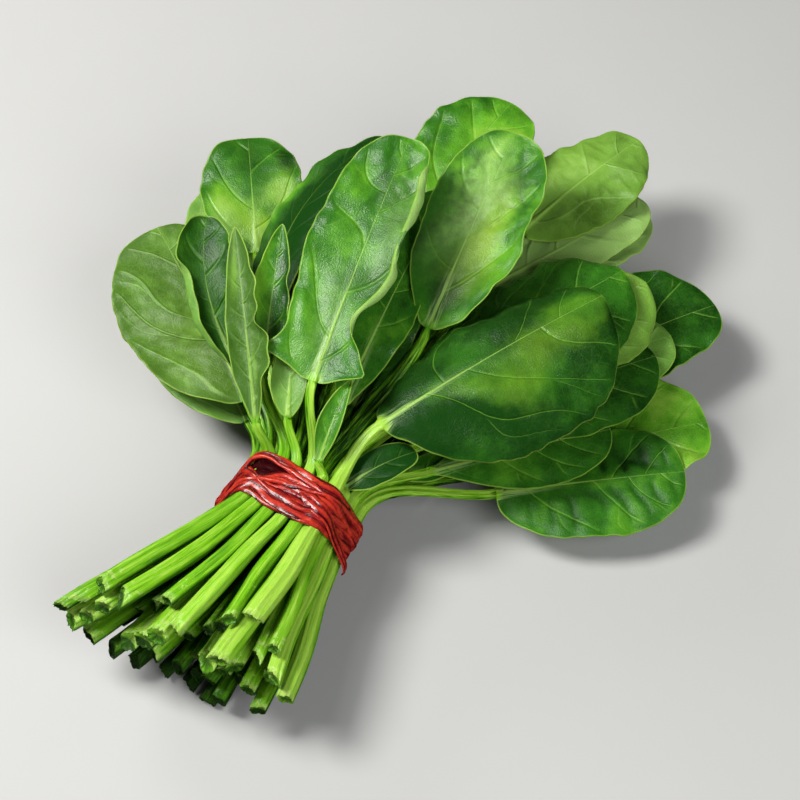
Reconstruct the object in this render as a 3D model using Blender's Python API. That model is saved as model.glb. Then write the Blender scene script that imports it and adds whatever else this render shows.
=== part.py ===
"""A tied bunch of spinach, lying on its side.

Metres, +Z up. The bunch lies along X: the cut ends of the stalks point to -X and the leaf tips to +X.
Each leaf is one solid that runs from its cut end, through the tie, to the tip of its blade.
"""

import math

import bmesh
import bpy
import numpy as np
from mathutils import Matrix, Vector

MM = 0.001
ALONG = np.array([1.0, 0.0, 0.0])
UP = np.array([0.0, 0.0, 1.0])

# The stalks where the tie squeezes them: rows from the bottom up, in close packing.
ROWS = (3, 6, 7, 8, 9, 8, 7, 6)
STALK_PITCH = 5.8 * MM
ROW_PITCH = STALK_PITCH * math.sin(math.radians(60))
STALK_RADIUS = 2.55 * MM
CUT_RADIUS = 3.0 * MM
NECK_RADIUS = 2.0 * MM
BASE_RADIUS = 1.7 * MM
HALF_WIDTH_OF_STACK = (max(ROWS) - 1) / 2 * STALK_PITCH
HALF_HEIGHT_OF_STACK = (len(ROWS) - 1) / 2 * ROW_PITCH

# The cut ends spread sideways and upwards, and the whole foot swings a little to +Y.
FOOT_LENGTH = 61 * MM
FOOT_SPREAD = 1.0
FOOT_RISE = 0.55
FOOT_SWING = 12.5 * MM
FEET = {(5, 0): 1.12, (6, 0): 1.10, (7, 5): 0.82}

# The tie.
TIE_HALF_LENGTH = 8.5 * MM
TIE_THICKNESS = 2.2 * MM
CLEARANCE = 0.35 * MM
TIE_HEIGHT = HALF_HEIGHT_OF_STACK * (1 + FOOT_RISE) + CUT_RADIUS

# The hidden leaves lie over each other as a dome: a layer's height falls off to both sides. Each stalk turns
# out in step with its place in the tie, so that no two cross, and every second leaf of a row is an upper one.
LAYER_RISE = 7.0 * MM
LOWEST_LAYER = 2.4 * MM
UPPER_LIFT = 0.45
DOME_DROP = 0.55
DOME_EDGE = 60.0
FAN_STEPS = (22.0, 9.8, 9.8, 9.8, 9.8)
NECKS = (54.0, 77.0)
LENGTHS = (60.0, 74.0)
HALVES = (12.0, 15.0)

# Where the sections of a leaf stand: along the foot, along the neck and along the blade, as shares.
LONGEST_HANDLE = 26 * MM
FOOT_SHARES = (1.0, 0.5)
NECK_SHARES = (0.4, 0.75)
BLADE_SHARES = (0.05, 0.15, 0.31, 0.5, 0.7, 0.87, 0.975)
SPREAD_OF_POINTS = (-1.0, -0.5, 0.0, 0.5, 1.0, 0.5, 0.0, -0.5)
TOP_POINTS = 5

# Forms of blade: where it is widest, how slowly its base narrows, how far its base lobes sweep back,
# and how blunt its tip is.
FORMS = {
    "arrow": dict(widest=0.52, base=0.28, sweep=0.35, blunt=2.6),
    "oval": dict(widest=0.45, base=0.65, sweep=0.10, blunt=2.4),
    "round": dict(widest=0.50, base=0.45, sweep=0.15, blunt=2.5),
    "paddle": dict(widest=0.48, base=0.9, sweep=0.0, blunt=2.3),
    "spoon": dict(widest=0.58, base=1.0, sweep=0.0, blunt=2.3),
}

# The leaves on top and round the rim. base and tip are (heading in degrees to +Y, reach from the tie in mm,
# height in mm), and half is the width of the left and of the right half in mm. roll turns the blade, in
# degrees, and cup is how far its left and its right edge curl up. arch and bend bow the midrib up and to the
# left, in mm.
LEAVES = {
    (7, 0): dict(base=(55, 26, 60), tip=(38, 95, 90), half=(8, 8), roll=-15, cup=(50, 50), form="oval"),
    (7, 1): dict(base=(39, 46, 60), tip=(27, 97, 86), half=(8, 8), cup=(50, 50), form="oval"),
    (7, 2): dict(base=(28, 26, 58), tip=(24, 52, 68), half=(7, 7), cup=(20, 20), form="oval"),
    (7, 3): dict(base=(11, 35, 70), tip=(5, 134, 102), half=(19, 21), roll=4, cup=(8, 35), form="arrow"),
    (7, 4): dict(base=(-20, 18, 57), tip=(-13, 34, 68), half=(5, 5), cup=(60, 60), form="oval"),
    (7, 5): dict(base=(-30, 41, 56), tip=(-33, 141, 68), half=(27, 42), cup=(-50, -40), form="paddle"),
    (6, 0): dict(base=(46, 58, 52), tip=(42, 116, 74), half=(14, 14), cup=(50, 50), bend=6, form="oval"),
    (6, 1): dict(base=(34, 74, 50), tip=(12, 156, 74), half=(12, 9), roll=-42, cup=(20, 20), bend=12, form="oval"),
    (6, 2): dict(base=(18, 60, 46), tip=(15, 142, 58), half=(15, 15), cup=(10, 10), form="oval"),
    (6, 3): dict(base=(-4.5, 38, 56), tip=(0, 143, 65), half=(15, 12), roll=10, cup=(20, 0), form="oval"),
    (6, 4): dict(base=(-12.5, 86, 56.5), tip=(-6.5, 169, 84), half=(18, 24), roll=5, cup=(25, 20), form="spoon"),
    (6, 5): dict(base=(-25, 74, 46), tip=(-28, 163, 54), half=(30, 30), cup=(-40, -40), form="spoon"),
    (6, 6): dict(base=(-52, 23, 43), tip=(-50, 44, 50), half=(8, 8), cup=(10, 10), form="oval"),
    (5, 0): dict(base=(46, 52, 37), tip=(49, 139, 48), half=(32, 27), cup=(-5, -15), form="oval"),
    (5, 1): dict(base=(33, 112, 51), tip=(32, 163.5, 62), half=(21, 21), cup=(5, 5), form="oval"),
    (5, 2): dict(base=(19, 60, 40), tip=(18, 142, 43), half=(12, 11), arch=0.5, form="oval"),
    (5, 3): dict(base=(3, 138, 52), tip=(-1, 203, 60), half=(24, 24), form="oval"),
    (5, 4): dict(base=(-11, 155, 44), tip=(-15, 221, 51), half=(21, 21), cup=(-20, -25), form="oval"),
    (5, 5): dict(base=(-27, 94, 40), tip=(-30, 171, 46), half=(27, 27), cup=(-35, -35), form="spoon"),
    (5, 6): dict(base=(-36, 78, 32), tip=(-39, 159, 35), half=(25, 22), roll=3, cup=(-30, -30), form="spoon"),
    (5, 7): dict(base=(-45, 56, 30), tip=(-47, 130, 27), half=(17, 17), roll=6, cup=(-20, -20), arch=1, form="spoon"),
    (4, 0): dict(base=(47, 50, 26), tip=(51, 128, 34), half=(23, 18), cup=(-5, -5), form="oval"),
    (4, 1): dict(base=(36, 92, 35), tip=(37, 157, 42), half=(20, 20), cup=(5, 5), form="oval"),
    (4, 2): dict(base=(21, 56, 31), tip=(22, 116, 31), half=(12, 11), arch=0.5, form="spoon"),
    (4, 4): dict(base=(1, 54, 30), tip=(1, 116, 29.5), half=(10, 10), arch=0.5, form="spoon"),
    (4, 5): dict(base=(-12, 130, 36), tip=(-20, 204, 40), half=(20, 15), cup=(-15, -20), arch=1, form="oval"),
    (4, 6): dict(base=(-33, 108, 27), tip=(-36, 172, 30), half=(20, 18), roll=3, cup=(-15, -15), form="spoon"),
    (4, 7): dict(base=(-42, 46, 28), tip=(-40, 74, 25), half=(6, 6), roll=5, cup=(-10, -10), arch=0, form="oval"),
    (4, 8): dict(base=(-53, 80, 18), tip=(-56, 154, 21), half=(23, 24), roll=5, cup=(-10, -10), arch=1, form="round"),
    (3, 0): dict(base=(44, 56, 16), tip=(47, 124, 15), half=(19, 15), form="oval"),
    (3, 5): dict(base=(-15, 140, 26), tip=(-19, 208, 29), half=(19, 18), form="oval"),
    (3, 6): dict(base=(-31, 134, 20.8), tip=(-34, 199, 25), half=(28, 22), form="oval"),
    (3, 7): dict(base=(-46, 118, 10), tip=(-48, 171, 17), half=(26, 23), cup=(10, 10), form="oval"),
    (2, 0): dict(base=(33, 56, 16.5), tip=(35, 112, 14), half=(12, 10), roll=-8, arch=0.5, form="spoon"),
}


def unit(vector):
    return vector / np.linalg.norm(vector)


def polar(heading, reach, height):
    """The point that far from the tie's axis, in the direction of the heading; reach and height in mm."""
    angle = math.radians(heading)
    return MM * np.array([reach * math.cos(angle), reach * math.sin(angle), height])


def wobble(row, column, turn):
    """A number from -1 to 1 that differs from leaf to leaf and from one use to the next."""
    return math.sin(12.9898 * (row + 1) + 78.233 * (column + 1) + 37.719 * turn)


def slot_of(row, column):
    """Where a stalk passes through the tie: columns run from +Y to -Y."""
    across = ((ROWS[row] - 1) / 2 - column) * STALK_PITCH
    return np.array([0, across, TIE_HEIGHT + row * ROW_PITCH - HALF_HEIGHT_OF_STACK])


def layer_height(level, heading):
    return LOWEST_LAYER + LAYER_RISE * level * (1 - DOME_DROP * (abs(heading) / DOME_EDGE) ** 1.6)


def hidden_leaf(row, column):
    """A leaf of the lower layers, which follows its layer of the dome."""
    heading = FAN_STEPS[row] * slot_of(row, column)[1] / STALK_PITCH + 0.5 * wobble(row, column, 1)
    upper = (row + column) % 2
    level = row + UPPER_LIFT * upper
    neck = NECKS[upper] + 3 * wobble(row, column, 2)
    length = LENGTHS[upper] + 5 * wobble(row, column, 3)
    wide = HALVES[upper] + wobble(row, column, 4)
    height = layer_height(level, heading)
    fall = (layer_height(level, abs(heading) + 6) - height) / polar(6, 0.7 * neck + length / 2, 0)[1]
    return dict(
        base=(heading, neck, height / MM),
        tip=(heading * 1.04, neck + length, height / MM),
        half=(wide, wide),
        arch=0.5,
        roll=math.degrees(math.atan(fall)) * math.copysign(1, heading),
        form="spoon",
    )


def foot_point(row, column, share):
    """A point on the stalk between the tie, at share 0, and the cut end, at share 1."""
    slot = slot_of(row, column)
    length = FEET.get((row, column), 1 + 0.12 * wobble(row, column, 5)) * FOOT_LENGTH * share
    spread = (length / FOOT_LENGTH) ** 1.1
    across = slot[1] + spread * (FOOT_SPREAD * slot[1] + FOOT_SWING + 0.8 * MM * wobble(row, column, 6))
    height = TIE_HEIGHT + (slot[2] - TIE_HEIGHT) * (1 + FOOT_RISE * min(spread, 1))
    return np.array([-TIE_HALF_LENGTH - length, across, height])


def midrib_point(leaf, share):
    """A point on the midrib between the blade's base, at share 0, and its tip, at share 1."""
    base, tip = polar(*leaf["base"]), polar(*leaf["tip"])
    chord = tip - base
    side = unit(np.cross(UP, chord))
    bow = unit(np.cross(chord, side)) * leaf.get("arch", 3) * MM
    bend = side * leaf.get("bend", 0) * MM
    return base + chord * share + 4 * share * (1 - share) * (bow + bend)


def neck_point(row, column, leaf, share):
    """A point on the stalk between the tie, at share 0, and the blade's base, at share 1."""
    start = slot_of(row, column) + ALONG * TIE_HALF_LENGTH
    end = midrib_point(leaf, 0)
    span = np.linalg.norm(end - start)
    aim = unit(midrib_point(leaf, 0.02) - end)
    first = start + ALONG * min(0.38 * span, LONGEST_HANDLE)
    second = end - aim * min(0.34 * span, LONGEST_HANDLE)
    rest = 1 - share
    return rest**3 * start + 3 * rest**2 * share * first + 3 * rest * share**2 * second + share**3 * end


def half_width(form, share):
    """Half the blade's width at a share of its length, with 1 at its widest."""
    if share < form["widest"]:
        return math.sin(math.pi / 2 * share / form["widest"]) ** form["base"]
    return (1 - ((share - form["widest"]) / (1 - form["widest"])) ** form["blunt"]) ** (1 / form["blunt"])


def section(centre, along, roll, points):
    """Points of a section, given as (to the side, up, along), set square to the leaf's line and rolled."""
    side = unit(np.cross(UP, along))
    normal = np.cross(along, side)
    turned = side * math.cos(roll) + normal * math.sin(roll)
    lifted = normal * math.cos(roll) - side * math.sin(roll)
    return [centre + turned * x + lifted * y + along * z for x, y, z in points]


def round_points(radius):
    return [(radius * math.cos(a), radius * math.sin(a), 0) for a in np.radians(range(180, -180, -45))]


def blade_points(leaf, share):
    """The blade's section: a curved sheet, thick at the midrib and thin at the edges."""
    form = FORMS[leaf["form"]]
    grown = half_width(form, share) * MM
    rib = MM * (1.3 - 0.8 * share)
    lobe = form["sweep"] * math.exp(-((share / 0.16) ** 2))
    points = []
    for number, v in enumerate(SPREAD_OF_POINTS):
        side = 0 if v > 0 else 1
        half = leaf["half"][side] * grown
        cup = math.radians(leaf.get("cup", (0, 0))[side]) or 1e-4
        reach = half * math.sin(cup * abs(v)) / cup * (1 if v > 0 else -1)
        lift = half * (1 - math.cos(cup * abs(v))) / cup
        thick = rib if v == 0 else 0.4 * MM * (abs(v) < 1)
        face = 1 if number < TOP_POINTS else -1
        points.append((reach, lift + face * thick, -lobe * half * abs(v) ** 1.5))
    return points


def leaf_rings(row, column):
    """The sections of one leaf, from its cut end to its tip."""
    leaf = LEAVES.get((row, column)) or hidden_leaf(row, column)
    roll = math.radians(leaf.get("roll", 0))
    line = [(foot_point(row, column, share), 0) for share in FOOT_SHARES]
    line += [(slot_of(row, column) + ALONG * TIE_HALF_LENGTH * end, 0) for end in (-1, 1)]
    line += [(neck_point(row, column, leaf, share), roll * share) for share in NECK_SHARES]
    line += [(midrib_point(leaf, share), roll) for share in (0, *BLADE_SHARES)]
    centres = np.array([centre for centre, _ in line])
    ways = np.gradient(centres, axis=0)
    radii = [CUT_RADIUS, CUT_RADIUS, STALK_RADIUS, STALK_RADIUS, NECK_RADIUS, BASE_RADIUS, BASE_RADIUS]
    rings = []
    for number, (centre, turn) in enumerate(line):
        if number < len(radii):
            points = round_points(radii[number])
        else:
            points = blade_points(leaf, BLADE_SHARES[number - len(radii)])
        way = ALONG if number in (2, 3) else unit(ways[number])
        rings.append(section(centre, way, turn, points))
    return rings


def loft(name, rings, material):
    """A closed solid through the rings, with a flat face on the first and on the last."""
    mesh = bmesh.new()
    loops = [[mesh.verts.new(Vector(point)) for point in ring] for ring in rings]
    for low, high in zip(loops, loops[1:]):
        for k in range(len(low)):
            mesh.faces.new((low[k - 1], low[k], high[k], high[k - 1]))
    mesh.faces.new(loops[0])
    mesh.faces.new(reversed(loops[-1]))
    bmesh.ops.recalc_face_normals(mesh, faces=mesh.faces)
    data = bpy.data.meshes.new(name)
    mesh.to_mesh(data)
    mesh.free()
    data.materials.append(material)
    node = bpy.data.objects.new(name, data)
    return node


def tie_ring(offset, x):
    """The outline of the stack of stalks, that far outside them."""
    slots = [slot_of(row, column)[1:] for row in range(len(ROWS)) for column in range(ROWS[row])]
    ring = []
    for angle in np.radians(range(0, 360, 9)):
        out = np.array([math.cos(angle), math.sin(angle)])
        corner = max(slots, key=lambda slot: slot @ out)
        ring.append(np.array([x, *(corner + out * (STALK_RADIUS + offset))]))
    return ring


def tie_ribbon(material):
    """The ribbon's turns as one closed band, hollow in the middle where the stalks pass."""
    inner, outer = CLEARANCE, CLEARANCE + TIE_THICKNESS
    profile = [(inner, -1), (outer * 0.8, -1), (outer, -0.5), (outer, 0.5), (outer * 0.8, 1), (inner, 1)]
    rings = [tie_ring(offset, end * TIE_HALF_LENGTH * 0.97) for offset, end in profile]
    mesh = bmesh.new()
    loops = [[mesh.verts.new(Vector(point)) for point in ring] for ring in rings]
    for low, high in zip(loops, [*loops[1:], loops[0]]):
        for k in range(len(low)):
            mesh.faces.new((low[k - 1], low[k], high[k], high[k - 1]))
    bmesh.ops.recalc_face_normals(mesh, faces=mesh.faces)
    data = bpy.data.meshes.new("tie_ribbon")
    mesh.to_mesh(data)
    mesh.free()
    data.materials.append(material)
    return bpy.data.objects.new("tie_ribbon", data)


def material(name, colour, roughness):
    made = bpy.data.materials.new(name)
    made.use_nodes = True
    shader = made.node_tree.nodes["Principled BSDF"]
    shader.inputs["Base Color"].default_value = (*colour, 1)
    shader.inputs["Roughness"].default_value = roughness
    shader.inputs["Metallic"].default_value = 0
    return made


def stand_on_origin(nodes):
    """Moves all the nodes so that the origin is the middle of the bottom of the box round them."""
    corners = np.array([vertex.co for node in nodes for vertex in node.data.vertices])
    low, high = corners.min(axis=0), corners.max(axis=0)
    shift = Vector((-(low[0] + high[0]) / 2, -(low[1] + high[1]) / 2, -low[2]))
    for node in nodes:
        node.data.transform(Matrix.Translation(shift))


def main():
    for old in list(bpy.data.objects):
        bpy.data.objects.remove(old)
    bunch = bpy.data.collections.new("spinach_bunch")
    bpy.context.scene.collection.children.link(bunch)
    green = material("leaf", (0.06, 0.25, 0.03), 0.45)
    red = material("ribbon", (0.50, 0.02, 0.02), 0.4)
    slots = [(row, column) for row in reversed(range(len(ROWS))) for column in range(ROWS[row])]
    nodes = [loft(f"leaf_{n:02d}", leaf_rings(*slot), green) for n, slot in enumerate(slots, 1)]
    nodes.append(tie_ribbon(red))
    stand_on_origin(nodes)
    for node in nodes:
        bunch.objects.link(node)


main()
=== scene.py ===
import math
from types import SimpleNamespace

import bpy
import numpy as np
from mathutils import Matrix, Vector


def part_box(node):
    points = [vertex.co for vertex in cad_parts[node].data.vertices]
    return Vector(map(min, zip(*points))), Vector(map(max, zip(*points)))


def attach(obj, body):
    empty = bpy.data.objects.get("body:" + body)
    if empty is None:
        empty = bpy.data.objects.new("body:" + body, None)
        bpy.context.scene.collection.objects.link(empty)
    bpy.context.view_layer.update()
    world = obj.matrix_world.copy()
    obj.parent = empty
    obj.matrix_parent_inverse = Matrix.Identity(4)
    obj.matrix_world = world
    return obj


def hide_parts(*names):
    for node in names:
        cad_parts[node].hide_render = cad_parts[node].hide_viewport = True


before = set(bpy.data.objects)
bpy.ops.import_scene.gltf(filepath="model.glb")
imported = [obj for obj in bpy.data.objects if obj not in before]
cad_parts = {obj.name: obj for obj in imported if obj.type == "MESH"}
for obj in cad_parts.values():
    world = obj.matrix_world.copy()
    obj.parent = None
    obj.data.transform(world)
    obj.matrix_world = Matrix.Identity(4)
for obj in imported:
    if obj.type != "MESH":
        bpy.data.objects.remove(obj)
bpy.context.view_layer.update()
mm = 0.001
upward = np.array([0.0, 0.0, 1.0])
forward = np.array([1.0, 0.0, 0.0])  # from the cut ends to the leaf tips
tieLow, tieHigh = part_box("tie_ribbon")
tieSpot = np.array([(tieLow.x + tieHigh.x) / 2, (tieLow.y + tieHigh.y) / 2, 0])  # under the tie's middle
print("frame:", len(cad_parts), "nodes")

cameraView = dict(
    elevation=55,  # degrees above the floor
    turn=24.4,  # degrees to the left of straight along the bunch
    lens=100,
    distance=844.4 * mm,
    aimRight=40.7 * mm,  # from the middle of the tie, across the view
    aimUp=43.7 * mm,
    tieHeight=30.25 * mm,
)


def makeCamera():
    tilt, turn = math.radians(cameraView["elevation"]), math.radians(cameraView["turn"])
    flat = Vector((math.cos(turn), math.sin(turn), 0))
    right = Vector((math.sin(turn), -math.cos(turn), 0))
    look = flat * math.cos(tilt) - Vector((0, 0, math.sin(tilt)))
    top = flat * math.sin(tilt) + Vector((0, 0, math.cos(tilt)))
    aim = Vector(tieSpot) + Vector((0, 0, cameraView["tieHeight"]))
    aim += right * cameraView["aimRight"] + top * cameraView["aimUp"]
    data = bpy.data.cameras.new("camera")
    data.lens = cameraView["lens"]
    data.sensor_width = 36
    data.clip_start, data.clip_end = 0.05, 60
    camera = bpy.data.objects.new("camera", data)
    camera.matrix_world = Matrix(
        (
            (right.x, top.x, -look.x, aim.x - look.x * cameraView["distance"]),
            (right.y, top.y, -look.y, aim.y - look.y * cameraView["distance"]),
            (right.z, top.z, -look.z, aim.z - look.z * cameraView["distance"]),
            (0, 0, 0, 1),
        )
    )
    bpy.context.scene.collection.objects.link(camera)
    bpy.context.scene.camera = camera


makeCamera()
print("camera placed")

# how the stalks pass through the tie and spread behind it
bunch = dict(
    rows=(3, 6, 7, 8, 9, 8, 7, 6),  # stalks in each row, the bottom row first
    pitch=5.8 * mm,
    packing=60,  # degrees from a stalk to its neighbours in the next row
    cutRadius=3.0 * mm,
    tieRadius=2.55 * mm,
    neckRadius=1.85 * mm,
    baseRadius=1.55 * mm,  # where the blade starts
    tipRadius=0.25 * mm,
    tieHalf=8.5 * mm,
    footLength=61 * mm,
    footVary=0.12,
    footShare={(5, 0): 1.12, (6, 0): 1.10, (7, 5): 0.82},  # given for these stalks
    footSpread=1.0,
    footRise=0.55,
    footSwing=12.5 * mm,
    footScatter=2.0 * mm,
    footBend=1.1,
    handles=(0.38, 0.34),  # how stiffly a stalk leaves the tie and meets its blade, as shares of the way
    longestHandle=26 * mm,
    ribTaper=2.4,
    thickness=0.22,  # how much the stalks differ, as a share
    oval=0.07,
    ridges=0.085,
    lumps=0.035,
    lumpLength=16 * mm,
    sway=1.5 * mm,
    swayLength=45 * mm,
    broad=0.20,  # in front of the tie the stalks are broader than thick, with a channel on top
    channel=0.35,
)
rowPitch = bunch["pitch"] * math.sin(math.radians(bunch["packing"]))
halfStack = (len(bunch["rows"]) - 1) / 2 * rowPitch
tieHeight = halfStack * (1 + bunch["footRise"]) + bunch["cutRadius"]

# the lower layers lie over each other as a dome; every second leaf of a row is an upper one
dome = dict(
    rise=7.0 * mm,  # from one row to the next
    lowest=2.4 * mm,
    lift=0.45,  # how far an upper leaf is raised, in rows
    drop=0.55,  # how far the layers come down at the dome's edge, as a share
    edge=60,  # degrees to either side
    roundness=1.6,
    fan=(22, 9.8, 9.8, 9.8, 9.8),  # degrees from leaf to leaf, in each row
    widening=1.04,
    necks=(54, 77),  # mm from the tie to a lower and to an upper blade, then their lengths and half widths
    lengths=(60, 74),
    halves=(12, 15),
    vary=dict(heading=0.5, neck=3, length=5),
    arch=0.5,
)

# widest: where the blade is widest; base: how slowly it gets there; sweep and lobe: the lobes at its base;
# blunt: its tip
forms = dict(
    arrow=dict(widest=0.52, base=0.42, sweep=0.12, lobe=0.52, blunt=2.5),
    oval=dict(widest=0.45, base=0.65, sweep=0.10, lobe=0, blunt=2.4),
    round=dict(widest=0.50, base=0.45, sweep=0.15, lobe=0, blunt=2.5),
    paddle=dict(widest=0.48, base=0.55, sweep=0, lobe=0, blunt=2.3),
    spoon=dict(widest=0.58, base=1.0, sweep=0, lobe=0, blunt=2.3),
    lance=dict(widest=0.42, base=0.7, sweep=0, lobe=0, blunt=1.5),
)
lobeShape = dict(at=0.08, reach=0.05, power=1.4, sweepReach=0.16)
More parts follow.
